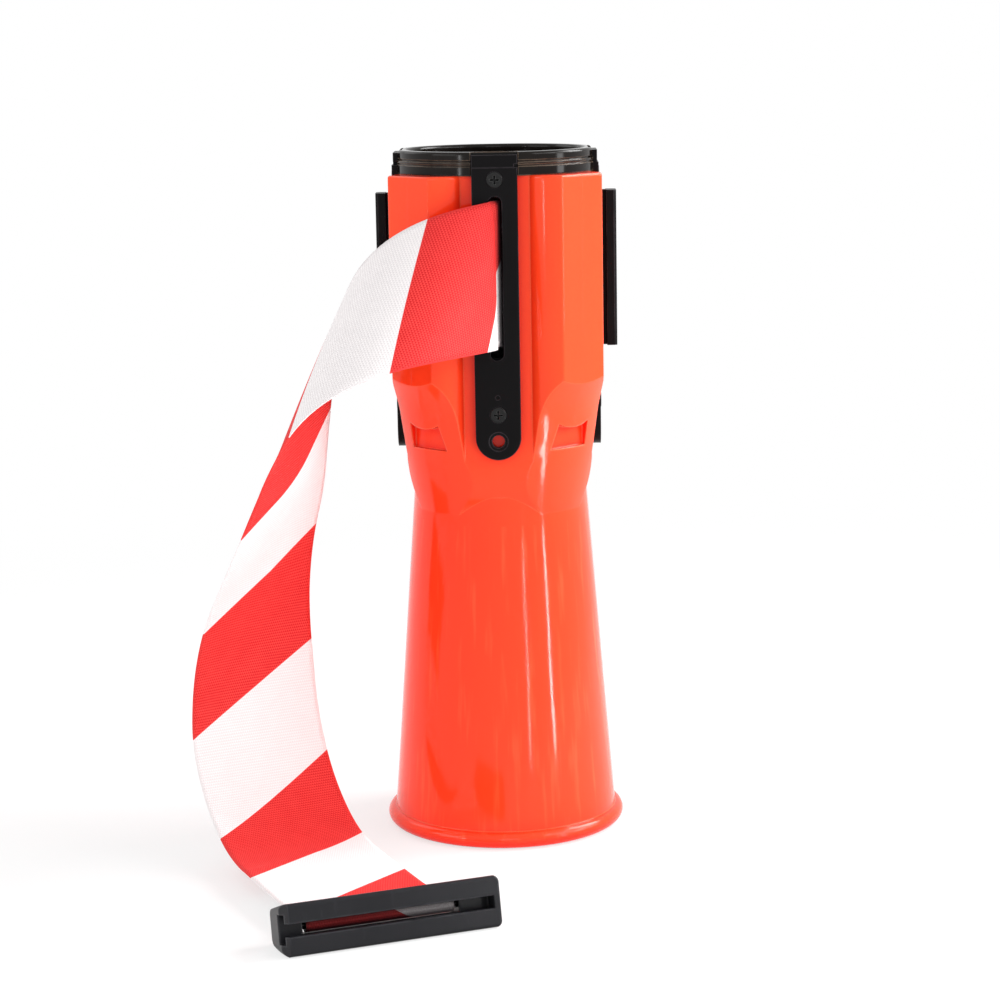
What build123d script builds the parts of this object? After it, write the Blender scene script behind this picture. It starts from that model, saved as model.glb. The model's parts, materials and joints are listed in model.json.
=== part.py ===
from build123d import *
from math import acos, atan2, ceil, cos, hypot, pi, radians, sin, sqrt, tan
import os

# Cone topper with a retractable striped belt, in millimetres, +Z up.
# The origin is the centre of the skirt's mouth, at the foot of its rim.
# The belt leaves the head towards -Y, and a belt receiver stands on each other side.

os.makedirs("parts", exist_ok=True)

# Skirt that slides over a cone
wall = 3.0
skirt_foot_radius = 57.1
neck_radius = 43.3
neck_height = 174.0
bead_depth = 4.0
bead_height = 8.0
mouth_land = 6.0

# Head: a square with cut corners and a channel down the middle of each side
head_half = 51.8
head_cover = 9.6
channel_margin = 5.6
channel_depth = 5.8
lobe_width = 13.4
lobe_flat = 2.0
facet_edge_round = 1.5
sill_rise = 15.5
top_edge_round = 1.2

# Funnel that carries the head down to the skirt
funnel_join_drop = 9.0
funnel_overlap = 5.0
funnel_slope = 0.18
flare_start_rise = 22.5
flare_rise = 23.0
flare_margin = 2.1
arch_foot_drop = 9.5
arch_foot_depth = 5.25
arch_crown_rise = 1.0
arch_crown_gap = 0.2

# Grip pockets under the four corners
pocket_inner_foot = 12.4
pocket_inner_top = 9.4
pocket_outer = 11.0
pocket_rise = 8.0
pocket_height = 12.5
pocket_droop = 2.5
pocket_depth = 2.9

# Inside of the head
bulkhead_rise = 20.0
bulkhead_thickness = 4.0
deck_thickness = 6.0
deck_lip = 1.5

# Black plates screwed into the channels
plate_width = 22.0
plate_thickness = 4.8
plate_foot_rise = 4.5
hook_hole_radius = 3.1
hook_hole_rise = 9.0
hook_ring_width = 1.5
hook_ring_depth = 0.6
lower_screw_rise = 13.0
upper_screw_rise = 7.8
tab_step_rise = 4.0
tab_height = 6.0
tab_step_depth = 0.7
tab_notch = 1.6
outlet_width = 6.5
outlet_foot_margin = 6.7
outlet_top_margin = 2.1
outlet_wall_margin = 0.8
dimple_rise = 8.5
dimple_radius = 1.1
dimple_depth = 0.6

# Receiver rails for another topper's belt clip
rail_foot_margin = 5.3
rail_top_margin = 1.7
rail_neck_width = 4.0
rail_neck_length = 3.7
rail_flange_width = 12.0
rail_flange_thickness = 5.0
rail_bevel = 1.2

# Plate screws
screw_shank_radius = 1.75
screw_head_radius = 3.9
screw_head_thickness = 2.0
screw_head_sink = 1.5
screw_length = 12.0
screw_clearance = 0.02
cross_length = 4.4
cross_width = 1.0
cross_depth = 1.0

# Cap
cap_inset = 2.4
cap_flange_step = 0.4
cap_flange_rise = 7.2
cap_flange_height = 4.1
cap_line_rise = 4.4
cap_line_depth = 0.5
cap_line_width = 0.8
cap_edge_round = 1.4
cap_rim_width = 5.0
cap_dish_depth = 4.3
cap_plate_thickness = 3.0
cap_ring_radius = 30.0
cap_ring_width = 2.0
cap_ring_height = 1.2
cap_spigot_depth = 8.5
cap_spigot_wall = 3.0
cap_clearance = 0.3
cap_rib_count = 12
cap_rib_width = 1.6
cap_rib_height = 0.9
cap_rib_gap = 2.0

# Belt
belt_width = 70.0
belt_thickness = 0.5
belt_total_length = 2000.0
belt_exit_offset = 1.8
belt_free_length = 490.0
belt_roll_packing = 0.9
belt_clearance = 0.3

# Folds of the hanging belt: station along the belt, slant of the fold line, turn, and span of the bend
belt_folds = (
    (3.2, 9.0, 47.7, 6.9),
    (26.5, -64.2, -8.7, 126.0),
    (16.9, 40.7, 144.7, 91.5),
    (157.7, -25.9, -23.0, 24.5),
    (201.6, 40.7, 49.2, 70.0),
    (293.0, 15.7, 57.2, 97.3),
    (306.6, -16.6, 28.9, 81.0),
)
belt_settle_power = 4
belt_section_step = 16.0
belt_least_bow = 0.05
belt_slant_reach = 36.0
belt_slant_rise = 70.0
belt_slant_hold = 170.0
belt_slant_end = 285.0
curl_section_count = 5
feed_bend_radius = 9.0
feed_turn_inset = 3.5

# Cassette that carries the spool
cassette_margin = 4.4
cassette_base_thickness = 3.0
cassette_top_margin = 1.2
cassette_top_thickness = 3.0
post_radius = 3.5
cassette_screw_radius = 1.5
cassette_screw_grip = 12.0
cassette_head_radius = 2.9
cassette_head_thickness = 2.4

# Axle and its fixings
axle_radius = 4.0
axle_fit = 0.05
axle_collar_radius = 7.0
axle_collar_thickness = 2.0
axle_tail = 13.5
axle_head = 4.0
washer_radius = 8.0
washer_thickness = 1.6
nut_across_flats = 13.0
nut_thickness = 6.5
ring_radius = 6.0
ring_thickness = 1.2
ring_groove = 0.6
ring_gap = 3.0

# Spool
hub_radius = 14.0
hub_neck = 5.0
bush_wall = 2.0
spool_margin = 2.0
flange_thickness = 2.5
flange_gap = 1.0
bush_flange_radius = 8.5
bush_flange_thickness = 1.8
bush_length = 12.0
spool_end_play = 0.3

# Recoil spring and its cup
cup_step = 2.0
cup_wall = 2.0
cup_depth = 19.0
cup_floor_thickness = 2.0
cup_foot_gap = 1.5
arbor_radius = 7.0
spring_width = 14.0
spring_strip = 0.5
spring_turns = 7
spring_start_gap = 0.5

# Belt clip, lying on one sloping side
clip_face = 24.2
clip_depth = 21.0
clip_side_slope = 12.0
clip_yaw = 21.8
clip_pin_x = -55.8
clip_pin_y = -178.9
clip_front_round = 1.6
clip_back_round = 3.5
clip_corner_round = 3.5
clip_mouth_clearance = 0.9
clip_rail_clearance = 0.7
clip_blind_end = 2.7
clip_blind_margin = 18.9
clip_pin_inset = 3.7
clip_pin_radius = 1.75
clip_pin_end = 2.0
clip_open_end = 13.0
clip_nose_bevel = 2.5
clip_nose_depth = 6.0
clip_belt_room = 2.0
clip_rear_half = 4.3
clip_cavity_half = 3.5
hem_fit = 0.05
hem_length = 5.0
hem_lead = 4.0

# Tolerance for picking edges and corners by their place
pick_tolerance = 0.01

# Plan sizes that follow from the sizes above
mouth_radius = skirt_foot_radius - wall
channel_half = plate_width / 2 + channel_margin
channel_floor = head_half - channel_depth
lobe_flat_start = channel_half + lobe_width
facet_start = lobe_flat_start + lobe_flat
flare_radius = hypot(head_half, facet_start) + flare_margin
plate_face = channel_floor + plate_thickness
hook_ring_radius = hook_hole_radius + hook_ring_width
deck_opening = channel_floor - wall - deck_lip
rail_reach = plate_face + rail_neck_length + rail_flange_thickness
cap_radius = head_half - cap_inset
cap_flange_radius = cap_radius - cap_flange_step
cap_dish_radius = cap_flange_radius - cap_rim_width
cassette_radius = channel_floor - wall - cassette_margin
cassette_top_radius = deck_opening - cap_clearance - cap_spigot_wall - cassette_top_margin
post_circle = cassette_top_radius - post_radius
flange_radius = post_circle - post_radius - spool_margin
cup_radius = flange_radius - cup_step
hub_bore = axle_radius + bush_wall
clip_length = clip_open_end + belt_width + clip_blind_margin
clip_mouth = rail_neck_width + 2 * clip_mouth_clearance
clip_lip = rail_neck_length - clip_rail_clearance
clip_pin_depth = clip_lip + rail_flange_thickness + clip_rail_clearance + clip_pin_inset

# Heights, stacked up from the neck to the cap
funnel_join_height = neck_height - funnel_join_drop
funnel_foot = funnel_join_height - funnel_overlap
arch_foot_height = neck_height - arch_foot_drop
arch_crown_height = neck_height + arch_crown_rise
sill_height = neck_height + sill_rise
plate_foot = sill_height + plate_foot_rise
hook_hole_height = plate_foot + hook_hole_rise
lower_screw_height = hook_hole_height + lower_screw_rise
dimple_height = lower_screw_height + dimple_rise
pocket_foot = sill_height + pocket_rise
flare_start = sill_height + flare_start_rise
flare_height = flare_start + flare_rise
bulkhead_foot = sill_height + bulkhead_rise
bulkhead_top = bulkhead_foot + bulkhead_thickness
cassette_floor = bulkhead_top + cassette_base_thickness
collar_top = cassette_floor + axle_collar_thickness
cup_top = collar_top + cup_foot_gap + cup_depth
hub_foot = cup_top + bush_flange_thickness
lower_flange_top = hub_foot + hub_neck + flange_thickness
belt_foot = lower_flange_top + flange_gap
belt_middle = belt_foot + belt_width / 2
belt_head = belt_foot + belt_width
upper_flange_foot = belt_head + flange_gap
hub_top = upper_flange_foot + flange_thickness
cassette_ceiling = hub_top + bush_flange_thickness + spool_end_play
rail_foot = belt_foot - rail_foot_margin
rail_top = belt_head + rail_top_margin
outlet_foot = belt_foot - outlet_foot_margin
outlet_top = belt_head + outlet_top_margin
upper_screw_height = outlet_top + upper_screw_rise
head_top = outlet_top + head_cover
deck_foot = head_top - deck_thickness
tab_step_height = head_top + tab_step_rise
plate_top = tab_step_height + tab_height
cap_line_height = head_top + cap_line_rise
cap_flange_foot = head_top + cap_flange_rise
cap_top = cap_flange_foot + cap_flange_height
cap_dish_floor = cap_top - cap_dish_depth


def skirt_radius(height):
    """Outside radius of the straight skirt at a height."""
    return skirt_foot_radius - (skirt_foot_radius - neck_radius) * height / neck_height


def turned(points, arc_after=()):
    """Solid of revolution from (radius, height) corners; arc_after maps a corner to its arc's middle."""
    arcs = dict(arc_after)
    with BuildSketch(Plane.XZ) as profile:
        with BuildLine():
            for index, corner in enumerate(points):
                following = points[(index + 1) % len(points)]
                if index in arcs:
                    ThreePointArc(corner, arcs[index], following)
                else:
                    Line(corner, following)
        make_face()
    return revolve(profile.sketch, Axis.Z)


def ring(inner, outer, foot, top):
    """Plain ring about Z; inner may be zero for a disc."""
    return turned([(inner, foot), (outer, foot), (outer, top), (inner, top)])


def block(low, high):
    """Box between two corners."""
    size = [b - a for a, b in zip(low, high)]
    middle = [(a + b) / 2 for a, b in zip(low, high)]
    return Pos(*middle) * Box(*size)


def rod(start, end, radius):
    """Round bar between two points."""
    way = Vector(*end) - Vector(*start)
    plane = Plane(origin=start, z_dir=way)
    return extrude(plane * Circle(radius), way.length)


def on_sides(shape, sides):
    """The shape of the front side, turned to each named side: 0 front, 1 right, 2 rear, 3 left."""
    return [Rot(0, 0, 90 * side) * shape for side in sides]


def save(name, shape):
    """Write one node; a list is a group of separate solids."""
    if isinstance(shape, (list, tuple)):
        shape = Compound(children=list(shape))
    shape.label = name
    export_step(shape, f"parts/{name}.step")


def funnel_radius(height):
    """Outside radius of the funnel's straight part at a height."""
    return skirt_radius(funnel_join_height) + (height - funnel_join_height) * funnel_slope


def funnel(inset, top):
    """Trumpet of revolution under the head, its radius reduced by inset."""
    low = funnel_radius(funnel_foot) - inset
    start = funnel_radius(flare_start) - inset
    end = flare_radius - inset
    with BuildSketch(Plane.XZ) as profile:
        with BuildLine():
            Line((0, funnel_foot), (low, funnel_foot))
            Line((low, funnel_foot), (start, flare_start))
            TangentArc((start, flare_start), (end, flare_height), tangent=(funnel_slope, 1))
            Line((end, flare_height), (end, top))
            Line((end, top), (0, top))
            Line((0, top), (0, funnel_foot))
        make_face()
    return revolve(profile.sketch, Axis.Z)


def quarter(point, turns):
    """A plan point turned by quarter turns about Z."""
    x, y = point
    for _ in range(turns):
        x, y = -y, x
    return (x, y)


def head_outline(inset):
    """Plan of the head: four round-walled channels between cut corners, moved inwards by inset."""
    lobe_radius = (lobe_width**2 + channel_depth**2) / (2 * channel_depth)
    lobe_centre = head_half - lobe_radius
    floor = channel_floor - inset
    flat = head_half - inset
    floor_half = lobe_flat_start - sqrt((lobe_radius - inset) ** 2 - (floor - lobe_centre) ** 2)
    facet = facet_start + inset - inset * sqrt(2)
    with BuildSketch() as outline:
        with BuildLine():
            for turns in range(4):
                lobe_left = quarter((-lobe_flat_start, flat), turns)
                facet_left = quarter((-facet, flat), turns)
                facet_right = quarter((-flat, facet), turns)
                lobe_right = quarter((-flat, lobe_flat_start), turns)
                Line(quarter((floor_half, floor), turns), quarter((-floor_half, floor), turns))
                TangentArc(lobe_left, quarter((-floor_half, floor), turns), tangent=quarter((1, 0), turns))
                Line(lobe_left, facet_left)
                Line(facet_left, facet_right)
                Line(facet_right, lobe_right)
                TangentArc(lobe_right, quarter((-floor, floor_half), turns), tangent=quarter((0, -1), turns))
        make_face()
    return outline.sketch


def housing():
    """Orange moulding: skirt, funnel and head in one shell, with a bulkhead above the skirt."""
    outline = head_outline(0)
    reach = hypot(facet_start, head_half) - pick_tolerance
    outline = fillet([v for v in outline.vertices() if hypot(v.X, v.Y) > reach], facet_edge_round)
    head = extrude(Pos(0, 0, sill_height) * outline, head_top - sill_height)
    top_edges = head.faces().sort_by(Axis.Z)[-1].edges()
    lobes = [e for e in top_edges if hypot(e.center().X, e.center().Y) > head_half]
    head = fillet(lobes, top_edge_round)
    head = head & funnel(0, head_top)
    below_sill = ring(0, flare_radius, funnel_foot, sill_height)
    shell = head + (funnel(0, head_top) & below_sill)

    # Rounded slope below each channel: it meets the skirt in an arch
    foot = (arch_foot_depth - skirt_radius(arch_foot_height), arch_foot_height)
    crown = (-skirt_radius(arch_crown_height) - arch_crown_gap, arch_crown_height)
    ledge = (-channel_floor, sill_height)
    with BuildSketch(Plane.YZ) as slope:
        with BuildLine():
            ThreePointArc(foot, crown, ledge)
            Line(ledge, (-flare_radius, sill_height))
            Line((-flare_radius, sill_height), (-flare_radius, arch_foot_height))
            Line((-flare_radius, arch_foot_height), foot)
        make_face()
    for cut in on_sides(extrude(slope.sketch, head_half, both=True), range(4)):
        shell -= cut

    # Grip pockets, leaning away from the front and rear channels
    pocket_top = pocket_foot + pocket_height
    pocket_floor = funnel_radius(pocket_foot) - pocket_depth
    crest = ((pocket_outer - pocket_inner_top) / 2, pocket_top - pocket_droop)
    with BuildSketch(Plane.XZ.offset(pocket_floor)) as window:
        with BuildLine():
            Line((-pocket_inner_foot, pocket_foot), (pocket_outer, pocket_foot))
            Line((pocket_outer, pocket_foot), (pocket_outer, pocket_top))
            ThreePointArc((pocket_outer, pocket_top), crest, (-pocket_inner_top, pocket_top))
            Line((-pocket_inner_top, pocket_top), (-pocket_inner_foot, pocket_foot))
        make_face()
    right = Rot(0, 0, 45) * extrude(window.sketch, flare_radius - pocket_floor)
    left = mirror(right, about=Plane.YZ)
    for pocket in (right, left):
        shell -= pocket
        shell -= Rot(0, 0, 180) * pocket

    # Skirt with its rolled bead
    bead_root = skirt_radius(bead_height)
    shell += turned(
        [(0, 0), (bead_root, 0), (bead_root, bead_height), (neck_radius, neck_height), (0, neck_height)],
        [(1, (bead_root + bead_depth, bead_height / 2))],
    )

    # Hollow of the skirt, up to the bulkhead
    shell -= turned([
        (0, 0),
        (mouth_radius, 0),
        (mouth_radius, mouth_land),
        (neck_radius - wall, neck_height),
        (neck_radius - wall, bulkhead_foot),
        (0, bulkhead_foot),
    ])

    # Chamber of the head, between the bulkhead and the top deck
    chamber = extrude(Pos(0, 0, bulkhead_top) * head_outline(wall), deck_foot - bulkhead_top)
    shell -= chamber & funnel(wall, head_top)
    shell -= ring(0, deck_opening, deck_foot, head_top)

    # Belt outlet, plate screws, cassette screws and axle
    half = outlet_width / 2 + outlet_wall_margin
    inner_wall = channel_floor - wall
    shell -= block(
        (-half, -channel_floor, outlet_foot - outlet_wall_margin),
        (half, -inner_wall, outlet_top + outlet_wall_margin),
    )
    hole = screw_shank_radius + screw_clearance
    for height in (lower_screw_height, upper_screw_height):
        bore = rod((0, -channel_floor, height), (0, -deck_opening + wall, height), hole)
        for cut in on_sides(bore, range(4)):
            shell -= cut
    shell -= ring(0, axle_radius + screw_clearance, bulkhead_foot, bulkhead_top)
    head_foot = bulkhead_foot - cassette_head_thickness
    for x, y in post_places():
        shell -= rod((x, y, bulkhead_foot), (x, y, bulkhead_top), cassette_screw_radius + screw_clearance)
        shell -= rod((x, y, head_foot), (x, y, bulkhead_foot), cassette_head_radius + screw_clearance)
    return shell


def post_places():
    """Centres of the cassette's posts, on the diagonals."""
    reach = post_circle * cos(radians(45))
    return [quarter((reach, reach), turns) for turns in range(4)]


def base_plate():
    """Plate of the front side with a round foot, its screw holes, hook hole and stepped tab."""
    half = plate_width / 2
    with BuildSketch(Plane.XZ.offset(channel_floor)) as outline:
        with BuildLine():
            Line((-half, plate_top), (half, plate_top))
            Line((half, plate_top), (half, plate_foot + half))
            ThreePointArc((half, plate_foot + half), (0, plate_foot), (-half, plate_foot + half))
            Line((-half, plate_foot + half), (-half, plate_top))
        make_face()
    plate = extrude(outline.sketch, plate_thickness)
    hook_face = (0, -plate_face, hook_hole_height)
    ring_floor = (0, hook_ring_depth - plate_face, hook_hole_height)
    plate -= rod((0, -channel_floor, hook_hole_height), hook_face, hook_hole_radius)
    plate -= rod(ring_floor, hook_face, hook_ring_radius)
    for height in (lower_screw_height, upper_screw_height):
        face = (0, -plate_face, height)
        seat = (0, screw_head_sink - plate_face, height)
        plate -= rod((0, -channel_floor, height), face, screw_shank_radius + screw_clearance)
        plate -= rod(seat, face, screw_head_radius + screw_clearance)
    plate -= block(
        (-half, -plate_face, tab_step_height),
        (half, -plate_face + tab_step_depth, plate_top),
    )
    plate -= block(
        (half - tab_notch, -plate_face, tab_step_height),
        (half, -channel_floor, tab_step_height + tab_notch),
    )
    return plate


def outlet_plate():
    """Front plate with the belt's outlet."""
    plate = base_plate()
    radius = outlet_width / 2
    tall = outlet_top - outlet_foot
    middle = (outlet_top + outlet_foot) / 2
    slot = Plane.XZ.offset(channel_floor) * Pos(0, middle) * SlotOverall(tall, 2 * radius, rotation=90)
    plate -= extrude(slot, plate_thickness)
    dimple_floor = plate_face - dimple_depth
    plate -= rod((0, -dimple_floor, dimple_height), (0, -plate_face, dimple_height), dimple_radius)
    return plate


def receiver():
    """Plate with the rail that a belt clip slides down onto, drawn on the front side."""
    neck_half = rail_neck_width / 2
    flange_half = rail_flange_width / 2
    flange_root = rail_reach - rail_flange_thickness
    with BuildSketch(Plane.XY.offset(rail_foot)) as section:
        Polygon(
            (-neck_half, -plate_face),
            (-neck_half, -flange_root),
            (-flange_half, -flange_root),
            (-flange_half, -rail_reach + rail_bevel),
            (-flange_half + rail_bevel, -rail_reach),
            (flange_half - rail_bevel, -rail_reach),
            (flange_half, -rail_reach + rail_bevel),
            (flange_half, -flange_root),
            (neck_half, -flange_root),
            (neck_half, -plate_face),
            align=None,
        )
    return base_plate() + extrude(section.sketch, rail_top - rail_foot)


def plate_screw(height):
    """Pan-head screw with a cross recess, in the front side."""
    seat = plate_face - screw_head_sink
    face = seat + screw_head_thickness
    screw = rod((0, -seat, height), (0, -face, height), screw_head_radius)
    screw = fillet(screw.edges().group_by(Axis.Y)[0], screw_head_thickness - screw_head_sink)
    tip = seat - screw_length + screw_head_thickness
    screw += rod((0, -tip, height), (0, -seat, height), screw_shank_radius)
    bottom = face - cross_depth
    for wide, tall in ((cross_length, cross_width), (cross_width, cross_length)):
        screw -= block((-wide / 2, -face, height - tall / 2), (wide / 2, -bottom, height + tall / 2))
    return screw


def cap():
    """Dished cap with a ring wall that drops into the deck's opening."""
    spigot = deck_opening - cap_clearance
    spigot_inside = spigot - cap_spigot_wall
    underside = cap_dish_floor - cap_plate_thickness
    flange = cap_flange_radius
    line_top = cap_line_height + cap_line_width
    outside = [
        (0, underside),
        (spigot_inside, underside),
        (spigot_inside, head_top - cap_spigot_depth),
        (spigot, head_top - cap_spigot_depth),
        (spigot, head_top),
        (cap_radius, head_top),
        (cap_radius, cap_line_height),
        (cap_radius - cap_line_depth, cap_line_height),
        (cap_radius - cap_line_depth, line_top),
        (cap_radius, line_top),
        (cap_radius, cap_flange_foot - cap_line_width),
        (flange - cap_line_depth, cap_flange_foot - cap_line_width),
        (flange - cap_line_depth, cap_flange_foot),
        (flange, cap_flange_foot),
        (flange, cap_top),
        (cap_dish_radius, cap_top),
        (cap_dish_radius, cap_dish_floor),
        (0, cap_dish_floor),
    ]
    body = turned(outside)
    rim = [e for e in body.edges() if abs(e.center().Z - cap_top) < pick_tolerance]
    body = fillet(rim, cap_edge_round)
    ring_top = cap_dish_floor + cap_ring_height
    body += ring(cap_ring_radius - cap_ring_width, cap_ring_radius, cap_dish_floor, ring_top)
    inner = cap_ring_radius + cap_rib_gap
    outer = cap_dish_radius - cap_rib_gap
    rib = block(
        (inner, -cap_rib_width / 2, cap_dish_floor),
        (outer, cap_rib_width / 2, cap_dish_floor + cap_rib_height),
    )
    for index in range(cap_rib_count):
        body += Rot(0, 0, 360 * (index + 0.5) / cap_rib_count) * rib
    half = plate_width / 2 + cap_clearance
    notch = block((-half, -2 * cap_radius, head_top), (half, -channel_floor + cap_clearance, cap_top))
    for cut in on_sides(notch, range(4)):
        body -= cut
    start = (0, -spigot, upper_screw_height)
    end = (0, -spigot_inside + cap_clearance, upper_screw_height)
    hole = rod(start, end, screw_shank_radius + screw_clearance)
    for cut in on_sides(hole, range(4)):
        body -= cut
    return body


def folded_point(along, across, lift=0.0):
    """Point of the belt outside: the flat strip rolled about each slanted fold, the last fold first."""
    s, w, n = along, across, lift
    for station, slant, turn, span in reversed(belt_folds):
        c = cos(radians(slant))
        k = sin(radians(slant))
        past = (s - station) * c + w * k
        beside = w * c - (s - station) * k
        radius = span / radians(turn)
        bent = min(max(past, 0.0), span)
        angle = bent / radius
        straight = past - bent
        past = (radius + n) * sin(angle) + straight * cos(angle)
        n = (radius + n) * cos(angle) - radius - straight * sin(angle)
        s = station + past * c - beside * k
        w = past * k + beside * c
    return Vector(belt_exit_offset + n, -plate_face - s, belt_middle + w)


def belt_point(along, across, lift=0.0):
    """Folded point, eased along the belt so that its end comes down on the clip's pin."""
    pin, _, _, _ = clip_frame()
    drift = pin - folded_point(belt_free_length, 0.0)
    share = max(along, 0.0) / belt_free_length
    return folded_point(along, across, lift) + drift * share**belt_settle_power


def belt_section(upper, lower):
    """Thin flat section across the belt, from upper edge to lower edge, bowed through its middle."""
    half = belt_width / 2
    stations = ((upper, half), ((upper + lower) / 2, 0.0), (lower, -half))
    top, middle, bottom = [belt_point(s, w) for s, w in stations]
    lifted = [belt_point(s, w, belt_thickness) for s, w in stations]
    chord = (top - bottom).normalized()
    normal = (lifted[0] - top) + (lifted[1] - middle) + (lifted[2] - bottom)
    normal = (normal - chord * normal.dot(chord)).normalized()
    return strip_section(top, middle, bottom, normal)


def strip_section(top, middle, bottom, normal):
    """Face of the belt's thickness along a line or arc from top to bottom, in the normal's plane."""
    centre = (top + bottom) / 2
    bow = (middle - centre).dot(normal)
    along = (top - bottom).normalized()
    shift = (middle - centre).dot(along)
    lift = normal * (belt_thickness / 2)
    edges = []
    for side in (lift, lift * -1):
        if abs(bow) > belt_least_bow:
            crest = centre + normal * bow + along * shift
            edges.append(ThreePointArc(top + side, crest + side, bottom + side))
        else:
            edges.append(Line(top + side, bottom + side))
    edges.append(Line(top + lift, top - lift))
    edges.append(Line(bottom + lift, bottom - lift))
    return make_face(edges)


def belt_stations():
    """Upper-edge and lower-edge stations of the belt's sections, slanted along the roll-over."""
    start = curl_end(0.0)
    count = ceil((belt_free_length - start) / belt_section_step)
    pairs = []
    for index in range(count + 1):
        share = index / count
        middle = start + share * (belt_free_length - start)
        rise = min(1.0, (middle - start) / belt_slant_rise)
        fall = min(1.0, max(0.0, (belt_slant_end - middle) / (belt_slant_end - belt_slant_hold)))
        first_slant = tan(radians(belt_folds[0][1])) * belt_width / 2
        reach = first_slant + (belt_slant_reach - first_slant) * rise
        pairs.append((middle - reach * fall, middle + reach * fall))
    return pairs


def curl_end(across):
    """Station where the curl at the outlet ends, along the fold's slant."""
    station, slant, _, span = belt_folds[0]
    return station + span / cos(radians(slant)) - across * tan(radians(slant))


def clip_frame():
    """The clip's axes at its pin: along the bar, up the face, and out of the face."""
    yaw = radians(clip_yaw)
    along = Vector(cos(yaw), sin(yaw), 0)
    out = Vector(sin(yaw), -cos(yaw), 0)
    tilt = radians(clip_side_slope)
    face_up = out * -sin(tilt) + Vector(0, 0, 1) * cos(tilt)
    face_out = out * cos(tilt) + Vector(0, 0, 1) * sin(tilt)
    pin_height = clip_face / 2 * cos(tilt) - clip_pin_depth * sin(tilt)
    pin = Vector(clip_pin_x, clip_pin_y, pin_height)
    return pin, along, face_up, face_out


def clip_plane(offset_along):
    """Plane square to the bar: X up the face, Y out of the face, its origin on the pin's axis."""
    pin, along, face_up, _ = clip_frame()
    return Plane(origin=pin + along * offset_along, x_dir=face_up, z_dir=along)


def belt_tail():
    """Free belt as it hangs, from the curl at the outlet to the hem in the clip."""
    sections = [belt_section(upper, lower) for upper, lower in belt_stations()[:-2]]
    sections.append(hem_section(hem_length + hem_lead))
    sections.append(hem_section(hem_length))
    return loft(sections)


def hem_direction():
    """Way from the pin back along the belt, square to the pin."""
    _, along, _, _ = clip_frame()
    end = belt_point(belt_free_length, 0.0)
    before = belt_point(belt_free_length - hem_length, 0.0)
    way = before - end
    return (way - along * way.dot(along)).normalized()


def hem_section(reach):
    """Section of the belt beside the clip, at a reach from the loop on the pin."""
    pin, along, _, _ = clip_frame()
    back = hem_direction()
    seam = pin + back * (hem_reach() + reach)
    half = along * (belt_width / 2)
    end = belt_point(belt_free_length, 0.0)
    front = belt_point(belt_free_length, 0.0, belt_thickness) - end
    normal = back.cross(along)
    if normal.dot(front) < 0:
        normal = normal * -1
    return strip_section(seam + half, seam, seam - half, normal)


def hem_reach():
    """Outside radius of the belt's loop on the pin."""
    return clip_pin_radius + hem_fit + belt_thickness


def belt_end_loop():
    """Sewn loop and hem that hold the belt's end on the clip's pin."""
    pin, along, _, _ = clip_frame()
    back = hem_direction()
    plane = Plane(origin=pin - along * (belt_width / 2), x_dir=back, z_dir=along)
    outer = hem_reach()
    hem = Pos((outer + hem_length) / 2, 0) * Rectangle(outer + hem_length, 2 * belt_thickness)
    section = Circle(outer) + hem - Circle(clip_pin_radius + hem_fit)
    return extrude(plane * section, belt_width)


def belt_feed():
    """Belt from the roll, through the outlet, and round the curl at its mouth."""
    roll = roll_radius() + belt_clearance + belt_thickness / 2
    turn_y = -(channel_floor - wall - feed_turn_inset)
    reach = hypot(belt_exit_offset, turn_y)
    toward = atan2(turn_y, belt_exit_offset)
    leave = toward + acos(roll / reach)
    tangent = (roll * cos(leave), roll * sin(leave))
    corner = (belt_exit_offset, turn_y)
    mouth = (belt_exit_offset, -plate_face - mouth_run())
    path = FilletPolyline(tangent, corner, mouth, radius=feed_bend_radius)
    ribbon = trace(path, line_width=belt_thickness)
    inner = extrude(Pos(0, 0, belt_foot) * ribbon, belt_width)
    half = belt_width / 2
    start = mouth_run()
    sections = []
    for index in range(curl_section_count + 1):
        share = index / curl_section_count
        upper = start + share * (curl_end(half) - start)
        lower = start + share * (curl_end(-half) - start)
        sections.append(belt_section(upper, lower))
    return inner + loft(sections, ruled=True)


def mouth_run():
    """Station where the curl begins at the belt's upper edge, along the outlet."""
    station, slant, _, _ = belt_folds[0]
    return station - belt_width / 2 * tan(radians(slant))


def roll_radius():
    """Outside radius of the belt left on the hub."""
    inside = hypot(belt_exit_offset, plate_face)
    wound = belt_total_length - belt_free_length - inside
    return sqrt(hub_radius**2 + wound * belt_thickness / (pi * belt_roll_packing))


def recoil_spring():
    """Flat spiral strip of half-turn arcs, from beside the arbor out to the cup's wall."""
    start = arbor_radius + spring_start_gap
    end = cup_radius - cup_wall - spring_strip
    halves = 2 * spring_turns
    step = (end - start) / halves
    inner_edges = []
    outer_edges = []
    for index in range(halves):
        radius = start + index * step
        sign = 1 if index % 2 == 0 else -1
        near = (sign * radius, 0)
        far = (-sign * (radius + step), 0)
        middle_radius = radius + step / 2
        centre = sign * (radius - middle_radius)
        top = (centre, sign * middle_radius)
        inner_edges.append(ThreePointArc(near, top, far))
        near_out = (sign * (radius + spring_strip), 0)
        far_out = (-sign * (radius + step + spring_strip), 0)
        top_out = (centre, sign * (middle_radius + spring_strip))
        outer_edges.append(ThreePointArc(near_out, top_out, far_out))
    first = Line((start, 0), (start + spring_strip, 0))
    last_inner = inner_edges[-1] @ 1
    last_outer = outer_edges[-1] @ 1
    last = Line(last_inner, last_outer)
    strip = make_face(inner_edges + outer_edges + [first, last])
    foot = collar_top + cup_foot_gap + (cup_depth - spring_width) / 2
    return extrude(Pos(0, 0, foot) * strip, spring_width)


def clip_start():
    """Station of the clip's open end along the pin, from the belt's middle."""
    return -belt_width / 2 - clip_open_end


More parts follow.
